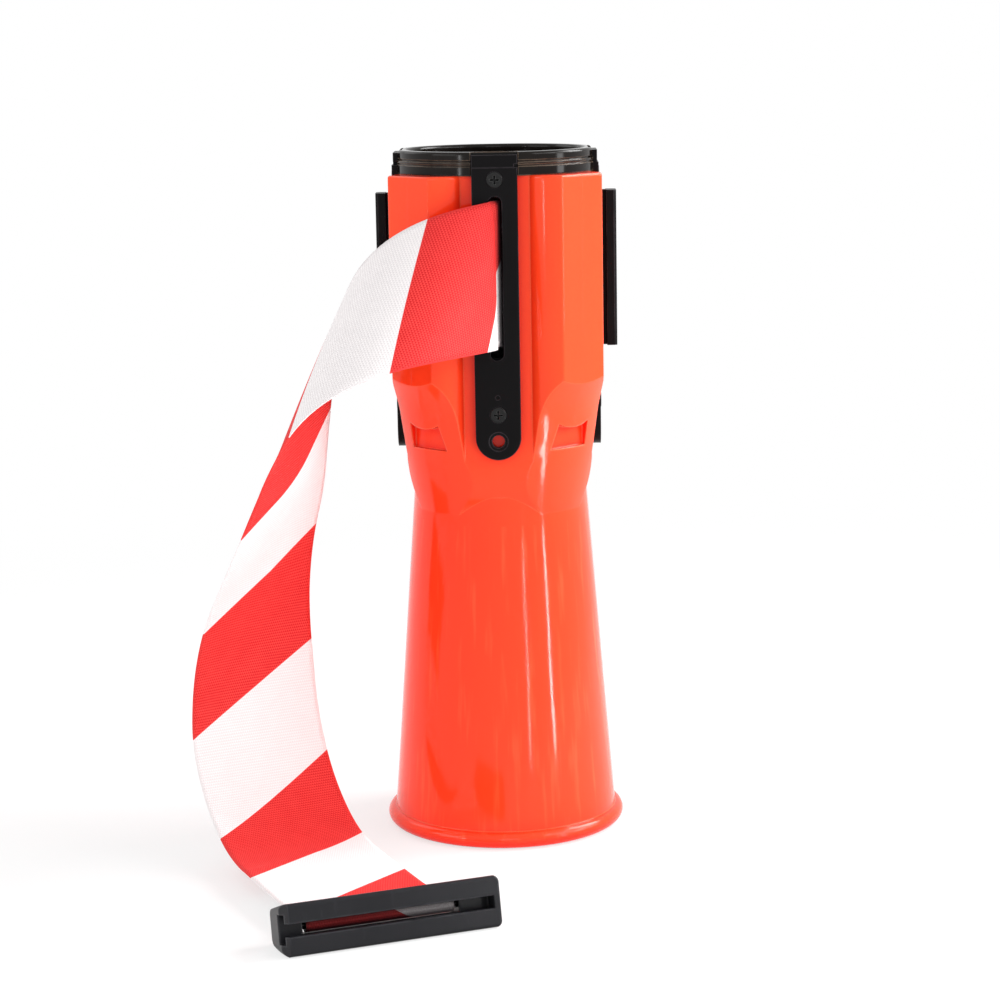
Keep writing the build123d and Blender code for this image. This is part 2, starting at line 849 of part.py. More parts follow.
def clip_body():
    """Bar of the belt clip: a sloping-sided section with a rail slot, a pin cavity and a rear mouth."""
    half_face = clip_face / 2
    back_half = half_face - clip_depth * tan(radians(clip_side_slope))
    front_y = clip_pin_depth
    back_y = clip_pin_depth - clip_depth
    with BuildSketch() as section:
        Polygon(
            (-half_face, front_y),
            (half_face, front_y),
            (back_half, back_y),
            (-back_half, back_y),
            align=None,
        )
        fillet(section.vertices().sort_by(Axis.Y)[:2], clip_back_round)
        fillet(section.vertices().sort_by(Axis.Y)[-2:], clip_front_round)
    plane = clip_plane(clip_start())
    bar = extrude(plane * section.sketch, clip_length)

    # Round corners of the face
    pin, along, _, face_out = clip_frame()
    middle = pin + along * (clip_start() + clip_length / 2)
    face = Plane(origin=middle, x_dir=along, z_dir=face_out) * RectangleRounded(
        clip_length, clip_face, clip_corner_round
    )
    bar = bar & extrude(face, clip_depth, both=True)

    # Lead-in bevel at the open end
    corner = pin + along * clip_start()
    with BuildSketch(Plane(origin=corner, x_dir=along, z_dir=along.cross(face_out))) as nose:
        Polygon((0, front_y), (clip_nose_bevel, front_y), (0, front_y - clip_nose_depth), align=None)
    bar -= extrude(nose.sketch, clip_face, both=True)

    # Rail slot from the open end
    channel_half_height = rail_flange_width / 2 + clip_rail_clearance
    channel_floor_y = front_y - clip_lip - rail_flange_thickness - clip_rail_clearance
    mouth_half = clip_mouth / 2
    slot_length = clip_length - clip_blind_end
    lips = Pos(0, front_y - clip_lip / 2) * Rectangle(2 * mouth_half, clip_lip)
    middle_y = (front_y - clip_lip + channel_floor_y) / 2
    channel = Pos(0, middle_y) * Rectangle(2 * channel_half_height, front_y - clip_lip - channel_floor_y)
    bar -= extrude(plane * (lips + channel), slot_length)

    # Cavity round the pin, and the rear mouth that the belt leaves by
    room = belt_width + 2 * clip_belt_room
    cavity_plane = clip_plane(-room / 2)
    cavity_depth = channel_floor_y + hem_reach() + belt_clearance
    cavity_middle = channel_floor_y - cavity_depth / 2
    cavity = Pos(0, cavity_middle) * Rectangle(2 * clip_cavity_half, cavity_depth)
    rear = Pos(0, back_y / 2) * Rectangle(2 * clip_rear_half, -back_y)
    bar -= extrude(cavity_plane * (cavity + rear), room)
    pin_start = clip_plane(clip_start() + clip_pin_end)
    bar -= extrude(pin_start * Circle(clip_pin_radius + screw_clearance), clip_length - 2 * clip_pin_end)
    return bar


def clip_pin():
    """Steel pin along the clip that the belt's loop turns on."""
    start = clip_plane(clip_start() + clip_pin_end)
    return extrude(start * Circle(clip_pin_radius), clip_length - 2 * clip_pin_end)


def cassette_base():
    """Base plate of the cassette on the bulkhead."""
    plate = ring(axle_radius + screw_clearance, cassette_radius, bulkhead_top, cassette_floor)
    for x, y in post_places():
        plate -= rod((x, y, bulkhead_top), (x, y, cassette_floor), cassette_screw_radius + screw_clearance)
    return plate


def cassette_top():
    """Top plate of the cassette."""
    top = cassette_ceiling + cassette_top_thickness
    plate = ring(axle_radius + screw_clearance, cassette_top_radius, cassette_ceiling, top)
    for x, y in post_places():
        plate -= rod((x, y, cassette_ceiling), (x, y, top), cassette_screw_radius + screw_clearance)
    return plate


def cassette_posts():
    """Four posts between the cassette's plates, each bored for a screw at both ends."""
    posts = []
    bore = cassette_screw_radius + screw_clearance
    for x, y in post_places():
        post = rod((x, y, cassette_floor), (x, y, cassette_ceiling), post_radius)
        post -= rod((x, y, cassette_floor), (x, y, cassette_floor + cassette_screw_grip), bore)
        post -= rod((x, y, cassette_ceiling - cassette_screw_grip), (x, y, cassette_ceiling), bore)
        posts.append(post)
    return posts


def cassette_screws():
    """Screws up through the bulkhead into the posts, and down through the top plate."""
    screws = []
    plate_top_face = cassette_ceiling + cassette_top_thickness
    grip = cassette_screw_grip
    head = cassette_head_thickness
    below = (bulkhead_foot - head, bulkhead_foot, cassette_floor + grip)
    above = (plate_top_face + head, plate_top_face, cassette_ceiling - grip)
    for x, y in post_places():
        for crown, seat, tip in (below, above):
            shank = rod((x, y, seat), (x, y, tip), cassette_screw_radius)
            screws.append(shank + rod((x, y, crown), (x, y, seat), cassette_head_radius))
    return screws


def spool_axle():
    """Fixed steel axle with a collar that sits on the cassette's base."""
    top = cassette_ceiling + cassette_top_thickness + axle_head
    groove_foot = cassette_ceiling + cassette_top_thickness
    groove_top = groove_foot + ring_thickness
    neck = axle_radius - ring_groove
    return turned([
        (0, bulkhead_foot - axle_tail),
        (axle_radius, bulkhead_foot - axle_tail),
        (axle_radius, cassette_floor),
        (axle_collar_radius, cassette_floor),
        (axle_collar_radius, collar_top),
        (axle_radius, collar_top),
        (axle_radius, groove_foot),
        (neck, groove_foot),
        (neck, groove_top),
        (axle_radius, groove_top),
        (axle_radius, top),
        (0, top),
    ])


def axle_nut():
    """Hexagon nut under the bulkhead's washer."""
    top = bulkhead_foot - washer_thickness
    flat = RegularPolygon(nut_across_flats / 2, 6, major_radius=False)
    nut = extrude(Pos(0, 0, top - nut_thickness) * flat, nut_thickness)
    return nut - ring(0, axle_radius + screw_clearance, top - nut_thickness, top)


def retaining_ring():
    """Open ring in the axle's groove, on the cassette's top plate."""
    foot = cassette_ceiling + cassette_top_thickness
    body = ring(axle_radius - ring_groove, ring_radius, foot, foot + ring_thickness)
    return body - block((-ring_gap / 2, 0, foot), (ring_gap / 2, ring_radius, foot + ring_thickness))


def spool_bush(foot, flange_up):
    """Flanged bush between the hub and the axle."""
    bore = axle_radius + axle_fit
    sleeve_foot = foot if flange_up else foot + bush_flange_thickness
    flange_foot = foot + bush_length if flange_up else foot
    sleeve = ring(bore, hub_bore, sleeve_foot, sleeve_foot + bush_length)
    return sleeve + ring(bore, bush_flange_radius, flange_foot, flange_foot + bush_flange_thickness)


def spring_cup():
    """Cup on the spool's foot that turns round the recoil spring."""
    foot = cup_top - cup_depth
    floor_top = hub_foot
    bore = bush_flange_radius + spool_end_play
    return turned([
        (bore, cup_top - (cup_floor_thickness - bush_flange_thickness)),
        (cup_radius - cup_wall, cup_top - (cup_floor_thickness - bush_flange_thickness)),
        (cup_radius - cup_wall, foot),
        (cup_radius, foot),
        (cup_radius, floor_top),
        (bore, floor_top),
    ])


save("housing", housing())
save("top_cap", cap())
save("front_outlet_plate", outlet_plate())
for side_name, side in (("right", 1), ("rear", 2), ("left", 3)):
    save(f"{side_name}_receiver", on_sides(receiver(), [side])[0])
both_screws = [plate_screw(lower_screw_height), plate_screw(upper_screw_height)]
save("outlet_plate_screws", both_screws)
save("receiver_screws", [placed for screw in both_screws for placed in on_sides(screw, (1, 2, 3))])

save("cassette_base", cassette_base())
save("cassette_top", cassette_top())
save("cassette_posts", cassette_posts())
save("cassette_screws", cassette_screws())
save("spool_axle", spool_axle())
washer_foot = bulkhead_foot - washer_thickness
save("axle_washer", ring(axle_radius + screw_clearance, washer_radius, washer_foot, bulkhead_foot))
save("axle_nut", axle_nut())
save("retaining_ring", retaining_ring())
save("spring_arbor", ring(axle_radius + screw_clearance, arbor_radius, collar_top, cup_top))

save("spool_hub", ring(hub_bore, hub_radius, hub_foot, hub_top))
save("lower_flange", ring(hub_radius, flange_radius, lower_flange_top - flange_thickness, lower_flange_top))
save("upper_flange", ring(hub_radius, flange_radius, upper_flange_foot, hub_top))
save("lower_bush", spool_bush(cup_top, flange_up=False))
save("upper_bush", spool_bush(hub_top - bush_length, flange_up=True))
save("spring_cup", spring_cup())
save("recoil_spring", recoil_spring())
save("belt_roll", ring(hub_radius, roll_radius(), belt_foot, belt_head))

save("belt_feed", belt_feed())
save("belt_tail", belt_tail())
save("belt_end_loop", belt_end_loop())
save("clip_body", clip_body())
save("clip_pin", clip_pin())
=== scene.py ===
# %% [markdown]
# # A cone topper with a striped belt
# This lesson dresses a finished mechanical model. The model comes in as a fixed frame, in metres,
# with its moving parts already grouped into bodies. Rigid pieces keep their shape and get a finish,
# and the belt, which is cloth, is rebuilt as a thin sheet. Loading the frame comes first, because
# every size and place further down is read from it.

# %% The frame
import json
import math

import bpy
import numpy as np
from mathutils import Matrix, Vector


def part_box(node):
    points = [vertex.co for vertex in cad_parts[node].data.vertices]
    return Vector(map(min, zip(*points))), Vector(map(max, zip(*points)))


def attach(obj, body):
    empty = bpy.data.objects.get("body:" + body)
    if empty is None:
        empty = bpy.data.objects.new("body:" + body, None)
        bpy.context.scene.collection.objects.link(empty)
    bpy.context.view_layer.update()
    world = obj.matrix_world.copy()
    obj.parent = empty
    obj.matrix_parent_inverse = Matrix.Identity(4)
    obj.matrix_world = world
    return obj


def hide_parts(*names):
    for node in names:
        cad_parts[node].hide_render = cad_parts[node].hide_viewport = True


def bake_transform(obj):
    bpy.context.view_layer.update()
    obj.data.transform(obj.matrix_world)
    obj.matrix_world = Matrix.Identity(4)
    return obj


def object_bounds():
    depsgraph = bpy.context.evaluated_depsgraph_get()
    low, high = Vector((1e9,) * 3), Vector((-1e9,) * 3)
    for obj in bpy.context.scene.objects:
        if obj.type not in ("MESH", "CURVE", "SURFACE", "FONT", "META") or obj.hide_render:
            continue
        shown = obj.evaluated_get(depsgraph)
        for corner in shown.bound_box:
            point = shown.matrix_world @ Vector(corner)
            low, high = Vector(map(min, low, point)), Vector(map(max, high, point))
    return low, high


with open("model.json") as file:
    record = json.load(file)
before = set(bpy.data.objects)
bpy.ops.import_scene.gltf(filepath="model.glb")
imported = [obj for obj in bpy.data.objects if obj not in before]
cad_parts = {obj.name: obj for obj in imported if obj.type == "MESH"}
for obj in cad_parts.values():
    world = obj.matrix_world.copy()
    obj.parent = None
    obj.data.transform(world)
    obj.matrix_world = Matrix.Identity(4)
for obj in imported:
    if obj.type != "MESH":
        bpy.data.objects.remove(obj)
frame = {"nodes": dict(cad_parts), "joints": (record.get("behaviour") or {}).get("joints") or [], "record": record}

cad_low, cad_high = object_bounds()
nodes = frame["nodes"]
joints = {joint["name"]: joint for joint in frame["joints"]}
print("frame of", len(nodes), "nodes, box", cad_low[:], cad_high[:])

# %% [markdown]
# ## The camera
# The photograph was taken from a little above the head, about 1.3 m away, with a long lens. A camera
# is placed by its position and three turns: yaw to the side, pitch downwards and a slight roll. Its
# matrix is built from three axes, which is safer than Euler angles because each axis can be checked.

# %% Camera
CAMERA_PLACE = Vector((0.0151, -1.2892, 0.3986))
CAMERA_YAW = math.radians(-0.69)
CAMERA_PITCH = math.radians(10.26)
CAMERA_ROLL = math.radians(-0.96)
FOCAL_PIXELS = 2587
IMAGE_PIXELS = 1000
SENSOR_MM = 36


def camera_axes(yaw, pitch, roll):
    """Right, up and backward axes: aim by yaw and pitch, then turn right and up by the roll."""
    ahead = Vector((math.sin(yaw) * math.cos(pitch), math.cos(yaw) * math.cos(pitch), -math.sin(pitch)))
    level = Vector((math.cos(yaw), -math.sin(yaw), 0))
    above = level.cross(ahead)
    right = math.cos(roll) * level + math.sin(roll) * above
    up = -math.sin(roll) * level + math.cos(roll) * above
    return right, up, -ahead


lens = bpy.data.cameras.new("photo_camera")
lens.sensor_width = SENSOR_MM
lens.lens = SENSOR_MM * FOCAL_PIXELS / IMAGE_PIXELS
camera = bpy.data.objects.new("photo_camera", lens)
camera.matrix_world = Matrix.Translation(CAMERA_PLACE) @ Matrix(
    camera_axes(CAMERA_YAW, CAMERA_PITCH, CAMERA_ROLL)
).transposed().to_4x4()
bpy.context.scene.collection.objects.link(camera)
bpy.context.scene.camera = camera
print("lens", round(lens.lens, 2), "mm")

# %% [markdown]
# ## A helper for surfaces
# Every new piece here is a grid of points, worked out by a formula with whole numpy arrays. One
# helper turns such a grid into a mesh: neighbouring points become quads, and a second grid of the
# same size can hold pattern coordinates, which the cloth's finish will read.

# %% Grid to mesh
def grid_faces(rows, columns):
    """Quads between neighbouring points of a grid, wound so that the normal is row way x column way."""
    first = np.arange(rows - 1)[:, None] * columns + np.arange(columns - 1)[None, :]
    return np.stack([first, first + columns, first + columns + 1, first + 1], axis=-1).reshape(-1, 4)


def grid_piece(name, points, pattern=None):
    """Mesh object from points (rows, columns, 3), with an optional pattern grid (rows, columns, 2)."""
    rows, columns = points.shape[:2]
    faces = grid_faces(rows, columns)
    mesh = bpy.data.meshes.new(name)
    mesh.from_pydata(points.reshape(-1, 3).tolist(), [], faces.tolist())
    if pattern is not None:
        layer = mesh.uv_layers.new(name="belt")
        layer.data.foreach_set("uv", pattern.reshape(-1, 2)[faces.ravel()].ravel().astype(np.float32))
    mesh.shade_smooth()
    piece = bpy.data.objects.new(name, mesh)
    bpy.context.scene.collection.objects.link(piece)
    print(name, len(faces), "quads")
    return piece


def smooth_step(share):
    """Ease from 0 to 1: 3 t^2 - 2 t^3, flat at both ends."""
    t = np.clip(share, 0.0, 1.0)
    return t * t * (3 - 2 * t)


# %% [markdown]
# ## The belt as a flat strip that is folded
# The belt is 70 mm webbing, half a millimetre thick. Webbing bends but hardly stretches, so it is
# drawn as a flat strip and then rolled about seven straight fold lines, one after the other. Rolling
# about a line keeps all lengths, as on the real belt, which a cloth simulation only nearly does. Each
# fold has its start along the strip, the slant of its line, the angle it turns by, and its length.

# %% Belt sizes and the fold formula
BELT_FOLDS = (
    (0.0032, 9.0, 47.7, 0.0069),
    (0.0265, -64.2, -8.7, 0.1260),
    (0.0169, 40.7, 144.7, 0.0915),
    (0.1577, -25.9, -23.0, 0.0245),
    (0.2016, 40.7, 49.2, 0.0700),
    (0.2930, 15.7, 57.2, 0.0973),
    (0.3066, -16.6, 28.9, 0.0810),
)
BELT_THICKNESS = 0.0005
BELT_FREE_LENGTH = 0.490
BELT_TOTAL_LENGTH = 2.0
BELT_EXIT_OFFSET = 0.0018
BELT_SETTLE_POWER = 4

plate_low, plate_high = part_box("front_outlet_plate")
roll_low, roll_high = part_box("belt_roll")
belt_width = roll_high.z - roll_low.z
outlet = np.array([BELT_EXIT_OFFSET, plate_low.y, (roll_low.z + roll_high.z) / 2])
pin = np.array(joints["clip_swing"]["pos_m"])
pin_way = np.array(joints["clip_swing"]["axis"])
pull_length = joints["belt_pull"]["range_m"][1]


def folded(along, across):
    """Strip point (along, across, 0) rolled about each fold line, the last first, then set at the outlet.

    Past a fold's start the strip follows a circle of radius span / turn, and after the span it goes
    on straight; before the start it stays as it is.
    """
    s, w, n = along, across, np.zeros_like(along)
    for start, slant, turn, span in reversed(BELT_FOLDS):
        c, k = math.cos(math.radians(slant)), math.sin(math.radians(slant))
        past = (s - start) * c + w * k
        beside = w * c - (s - start) * k
        radius = span / math.radians(turn)
        bent = np.clip(past, 0.0, span)
        straight = past - bent
        angle = bent / radius
        past = (radius + n) * np.sin(angle) + straight * np.cos(angle)
        n = (radius + n) * np.cos(angle) - radius - straight * np.sin(angle)
        s = start + past * c - beside * k
        w = past * k + beside * c
    return outlet + np.stack([n, -s, w], axis=-1)


def hanging_belt(along, across):
    """Folded strip, eased along its length by share^4 so that the end of its middle lands on the pin."""
    end = folded(np.array(BELT_FREE_LENGTH), np.array(0.0))
    share = np.maximum(along, 0.0) / BELT_FREE_LENGTH
    return folded(along, across) + (pin - end) * share[..., None] ** BELT_SETTLE_POWER


print("belt", belt_width, "wide, leaves at", outlet, "and ends at", pin)

# %% [markdown]
# ## The hanging belt
# From the slot in the front plate the belt curls to the left, turns over once and comes down to the
# clip. It starts a few millimetres inside the slot and comes out at a slant, against the slot's left
# lip. Its last few centimetres ease into a straight hem, square to the clip's pin. A Solidify modifier
# gives the sheet its thickness. The pattern grid keeps each point's place on the flat strip, in metres,
# so that the stripes and the weave follow the cloth wherever it turns.

# %% Hanging belt
BELT_ROWS = 420
BELT_COLUMNS = 25
MOUTH_DEPTH = 0.003
MOUTH_SIDE = 0.0008
LIP_SHIFT = 0.0021
LIP_REACH = 0.018
LIP_SLANT = 0.14
HEM_LENGTH = 0.005
HEM_EASE_LENGTH = 0.034
HEM_STRAIGHT = 0.0113
PIN_RADIUS = 0.00175
PIN_FIT = 0.00005

loop_radius = PIN_RADIUS + PIN_FIT + BELT_THICKNESS / 2
seam = loop_radius + BELT_THICKNESS / 2 + HEM_LENGTH
half_width = belt_width / 2


def strip_grid(start, end, rows, columns):
    """Two arrays over a flat stretch of belt: the place along it and the place across it."""
    along = np.linspace(start, end, rows)
    across = np.linspace(half_width, -half_width, columns)
    return np.meshgrid(along, across, indexing="ij")


def hem_way():
    """Way from the pin back along the belt, square to the pin."""
    last = np.array([BELT_FREE_LENGTH - HEM_LENGTH, BELT_FREE_LENGTH])
    ends = hanging_belt(last, np.zeros(2))
    way = ends[0] - ends[1]
    way = way - pin_way * (way @ pin_way)
    return way / np.linalg.norm(way)


def webbing(piece):
    """Give a belt sheet its thickness, half to each side."""
    thick = piece.modifiers.new("webbing", "SOLIDIFY")
    thick.thickness = BELT_THICKNESS
    thick.offset = 0
    return piece


back_way = hem_way()
mouth_length = math.hypot(MOUTH_DEPTH, MOUTH_SIDE + LIP_SHIFT)
along, across = strip_grid(-mouth_length, BELT_FREE_LENGTH - seam, BELT_ROWS, BELT_COLUMNS)
inside = np.clip(-along / mouth_length, 0.0, 1.0)[..., None]
mouth_middle = outlet + [MOUTH_SIDE, MOUTH_DEPTH, 0]
mouth_edge = mouth_middle + across[..., None] * [0, 0, 1]
lip = LIP_SHIFT * (1 - smooth_step((np.maximum(along, 0.0) + across * LIP_SLANT) / LIP_REACH))
hem_plane = pin + back_way * (BELT_FREE_LENGTH - along)[..., None] + pin_way * across[..., None]
ease_start = BELT_FREE_LENGTH - HEM_EASE_LENGTH
ease = smooth_step((along - ease_start) / (HEM_EASE_LENGTH - HEM_STRAIGHT))[..., None]
belt_points = hanging_belt(np.maximum(along, 0.0), across) - lip[..., None] * [1, 0, 0]
belt_points = belt_points * (1 - inside) + mouth_edge * inside
belt_points = belt_points * (1 - ease) + hem_plane * ease
hanging = webbing(grid_piece("belt_hanging", belt_points, np.stack([across, along], axis=-1)))
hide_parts("belt_tail")
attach(hanging, "belt_end")

# %% [markdown]
# ## The roll on the clip's pin
# Inside the clip the belt's end is rolled round a steel pin and sewn. Its section is one line: a
# straight leg from the hem to the roll, then a spiral of a few turns down to the pin. The section is
# carried along the pin over the belt's width, and it shows through the long slot in the clip's face.

# %% Roll on the pin
ROLL_TURNS = 2.6
ROLL_PACKING = 0.85
ROLL_POINTS = 96
ROLL_LEG_POINTS = 6
ROLL_FRONT_STATION = 0.507

roll_start_radius = loop_radius + ROLL_TURNS * BELT_THICKNESS * ROLL_PACKING
leave = math.acos(roll_start_radius / seam)
turned = np.linspace(0, ROLL_TURNS * 2 * math.pi, ROLL_POINTS)
shrink = roll_start_radius + (loop_radius - roll_start_radius) * turned / turned[-1]
roll = np.stack([np.cos(leave + turned), np.sin(leave + turned)], axis=-1) * shrink[:, None]
leg_start = np.array([seam, 0.0])
leg = leg_start + np.linspace(0, 1, ROLL_LEG_POINTS, endpoint=False)[:, None] * (roll[0] - leg_start)
profile = np.concatenate([leg, roll])
steps = np.linalg.norm(np.diff(profile, axis=0), axis=1)
station = np.concatenate([[0], np.cumsum(steps)])
side_way = np.cross(back_way, pin_way)
across = np.linspace(half_width, -half_width, BELT_COLUMNS)
loop_points = (
    pin
    + profile[:, None, :1] * back_way
    + profile[:, None, 1:] * side_way
    + across[None, :, None] * pin_way
)
front = ROLL_LEG_POINTS + np.argmin(abs(leave + turned - math.pi))
loop_station = ROLL_FRONT_STATION + station - station[front]
loop_pattern = np.stack(np.meshgrid(loop_station, across, indexing="ij")[::-1], axis=-1)
loop = webbing(grid_piece("belt_loop", loop_points, loop_pattern))
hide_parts("belt_end_loop")
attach(loop, "belt_end")

# %% [markdown]
# ## The belt inside the head
# The rest of the belt is wound on the spool. It is drawn as one flat spiral from the outer turn to
# the hub, with as many turns as its length needs. A short run then leads it from the roll to the
# outlet. Neither shows in the photograph, but the part can be opened and turned by its users.

# %% Winding and feed
FEED_CORNER_Y = -0.0395
FEED_BEND_RADIUS = 0.009
FEED_CLEARANCE = 0.0003
RESERVE_LENGTH = 0.001
TURN_POINTS = 64
FEED_BEND_POINTS = 12

hub_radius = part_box("spool_hub")[1].x
roll_radius = roll_high.x
wound_length = BELT_TOTAL_LENGTH - BELT_FREE_LENGTH + outlet[1]
winding_turns = wound_length / (math.pi * (hub_radius + roll_radius))
corner = np.array([BELT_EXIT_OFFSET, FEED_CORNER_Y])
leave_radius = roll_radius + FEED_CLEARANCE + BELT_THICKNESS / 2
leave_angle = math.atan2(corner[1], corner[0]) + math.acos(leave_radius / np.linalg.norm(corner))
leave_point = leave_radius * np.array([math.cos(leave_angle), math.sin(leave_angle)])
mouth = mouth_middle[:2] + [0, RESERVE_LENGTH]


def rounded_corner(start, middle, end, radius, count):
    """Plan path from start to end that goes round its middle point on an arc of that radius."""
    into = (middle - start) / np.linalg.norm(middle - start)
    out = (end - middle) / np.linalg.norm(end - middle)
    bend = math.acos(np.clip(into @ out, -1, 1))
    reach = radius * math.tan(bend / 2)
    inward = (out - into) / np.linalg.norm(out - into)
    centre = middle + inward * (radius / math.cos(bend / 2))
    swing = np.linspace(-bend / 2, bend / 2, count)[:, None]
    tangent = (into + out) / np.linalg.norm(into + out)
    curve = centre + radius * (np.sin(swing) * tangent - np.cos(swing) * inward)
    return np.concatenate([[start], [middle - into * reach], curve[1:-1], [middle + out * reach], [end]])


def upright_strip(plan, last_station):
    """Belt standing on its edge along a plan path; the pattern counts back from the path's end."""
    lengths = np.concatenate([[0], np.cumsum(np.linalg.norm(np.diff(plan, axis=0), axis=1))])
    stations = last_station - (lengths[-1] - lengths)
    rise = np.array([half_width, -half_width])
    points = np.empty((len(plan), 2, 3))
    points[..., :2] = plan[:, None, :]
    points[..., 2] = outlet[2] + rise
    return points, np.stack(np.meshgrid(stations, rise, indexing="ij")[::-1], axis=-1), lengths[-1]


feed_plan = rounded_corner(leave_point, corner, mouth, FEED_BEND_RADIUS, FEED_BEND_POINTS)
feed_points, feed_pattern, feed_length = upright_strip(feed_plan, -mouth_length - RESERVE_LENGTH)
feed = webbing(grid_piece("belt_feed_run", feed_points, feed_pattern))
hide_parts("belt_feed")
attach(feed, "topper")

spread = np.linspace(1, 0, int(TURN_POINTS * winding_turns))
spiral_radius = roll_radius - BELT_THICKNESS / 2 - spread * (roll_radius - hub_radius - BELT_THICKNESS)
spiral_angle = leave_angle + spread * winding_turns * 2 * math.pi
spiral = spiral_radius[:, None] * np.stack([np.cos(spiral_angle), np.sin(spiral_angle)], axis=-1)
winding_points, winding_pattern, winding_length = upright_strip(spiral, feed_pattern[0, 0, 1])
winding = webbing(grid_piece("belt_winding", winding_points, winding_pattern))
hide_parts("belt_roll")
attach(winding, "spool")
print("winding", round(winding_turns, 2), "turns,", round(winding_length, 3), "m")

# %% [markdown]
# ## The belt that comes out when it is pulled
# When the clip is drawn away, more belt follows it out of the slot. Its pattern already has the
# length of the whole pull. It belongs to the same cloth as the hanging belt and starts at its first row.

# %% Reserve in the outlet
RESERVE_ROWS = 2

along, across = strip_grid(-RESERVE_LENGTH, 0.0, RESERVE_ROWS, BELT_COLUMNS)
reserve_points = belt_points[0] + np.stack([np.zeros_like(along), -along, np.zeros_like(along)], axis=-1)
reserve_station = along / RESERVE_LENGTH * pull_length - mouth_length
reserve = webbing(grid_piece("belt_reserve", reserve_points, np.stack([across, reserve_station], axis=-1)))
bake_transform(reserve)

# %% [markdown]
# ## A small language for finishes
# A finish is a graph of shader nodes. Wiring nodes by hand is long to read, so one small class stands
# for a socket: adding, multiplying or comparing two of them adds the Math node that does it. Any other
# node comes from its add method, which takes the kind, the settings and what goes into its sockets.

# %% Shader sockets as values
class Wire:
    """An output socket in a material's graph that can be used in Python expressions."""

    def __init__(self, tree, socket=None):
        self.tree = tree
        self.socket = socket

    def add(self, kind, settings=None, sockets=None, output=0):
        """Add a node: its settings first, then values or wires for its sockets; gives one output."""
        node = self.tree.nodes.new("ShaderNode" + kind)
        for name, value in (settings or {}).items():
            setattr(node, name, value)
        for name, value in (sockets or {}).items():
            if isinstance(value, Wire):
                self.tree.links.new(value.socket, node.inputs[name])
            else:
                node.inputs[name].default_value = value
        return Wire(self.tree, node.outputs[output] if node.outputs else None)

    def math(self, operation, *values):
        """A Math node on up to three values."""
        return self.add("Math", {"operation": operation}, dict(enumerate(values)))

    def __add__(self, other):
        return self.math("ADD", self, other)

    def __sub__(self, other):
        return self.math("SUBTRACT", self, other)

    def __rsub__(self, other):
        return self.math("SUBTRACT", other, self)

    def __mul__(self, other):
        return self.math("MULTIPLY", self, other)

    def __truediv__(self, other):
        return self.math("DIVIDE", self, other)

    def __mod__(self, other):
        return self.math("FLOORED_MODULO", self, other)

    def __pow__(self, other):
        return self.math("POWER", self, other)

    def __lt__(self, other):
        return self.math("LESS_THAN", self, other)

    def __gt__(self, other):
        return self.math("GREATER_THAN", self, other)

    def __abs__(self):
        return self.math("ABSOLUTE", self)

    __radd__ = __add__
    __rmul__ = __mul__

    def sine(self):
        return self.math("SINE", self)

    def most(self, other):
        return self.math("MAXIMUM", self, other)

    def ease(self, low, high):
        """0 below low, 1 above high and smooth between."""
        places = {"Value": self, "From Min": low, "From Max": high}
        return self.add("MapRange", {"interpolation_type": "SMOOTHSTEP"}, places)

    def parts(self):
        """The three numbers of a vector."""
        return [self.add("SeparateXYZ", {}, {0: self}, output) for output in range(3)]

    def noise(self, scale, detail=2.0, roughness=0.5, stretch=None):
        """Fractal noise from 0 to 1 on this vector; stretch scales its axes apart."""
        vector = self
        if stretch is not None:
            vector = self.add("Mapping", {}, {"Vector": self, "Scale": stretch})
        shape = {"Vector": vector, "Scale": scale, "Detail": detail, "Roughness": roughness}
        return self.add("TexNoise", {}, shape)

    def mix(self, first, second):
        """A colour between two, by this share."""
        ends = {"Factor": self, 6: first, 7: second}
        return self.add("Mix", {"data_type": "RGBA"}, ends, output=2)


class Finish:
    """A new material with one Principled shader; its graph starts from coordinates."""

    def __init__(self, name):
        self.material = bpy.data.materials.new(name)
        self.material.use_nodes = True
        self.tree = self.material.node_tree
        self.tree.nodes.clear()
        self.graph = Wire(self.tree)

    def place(self):
        """Place on the object, in metres."""
        return self.graph.add("TexCoord", {}, {}, output=3)

    def strip(self):
        """Place on the flat belt, in metres: across and along."""
        return self.graph.add("UVMap", {"uv_map": "belt"})

    def rounded_edges(self, radius, samples=6):
        """Normal that rounds edges by a small radius."""
        return self.graph.add("Bevel", {"samples": samples}, {"Radius": radius})

    def painted_edge_highlights(self, rounded, low=0.001, high=0.012):
        """Share of edge at a point, for a painted highlight, from how far the rounded normal leans from the plain
        one.
        """
        plain = self.graph.add("NewGeometry", {}, {}, output=1)
        lean = self.graph.add("VectorMath", {"operation": "DOT_PRODUCT"}, {0: rounded, 1: plain}, output=1)
        return (1 - lean).ease(low, high)

    def open_air(self, distance, low, high):
        """0 deep in a hollow and 1 in the open, from how many short rays get away."""
        free = self.graph.add("AmbientOcclusion", {"samples": 8}, {"Distance": distance}, output=1)
        return free.ease(low, high)

    def bump(self, height, distance, strength=1.0, normal=None):
        """Normal that follows a height from 0 to 1 over that distance."""
        sockets = {"Height": height, "Distance": distance, "Strength": strength}
        if normal is not None:
            sockets["Normal"] = normal
        return self.graph.add("Bump", {}, sockets)

    def surface(self, **sockets):
        """End the graph in a Principled shader; names use spaces for underscores."""
        named = {name.replace("_", " "): value for name, value in sockets.items()}
        shader = self.graph.add("BsdfPrincipled", {}, named)
        self.graph.add("OutputMaterial", {}, {"Surface": shader})
        return self.material
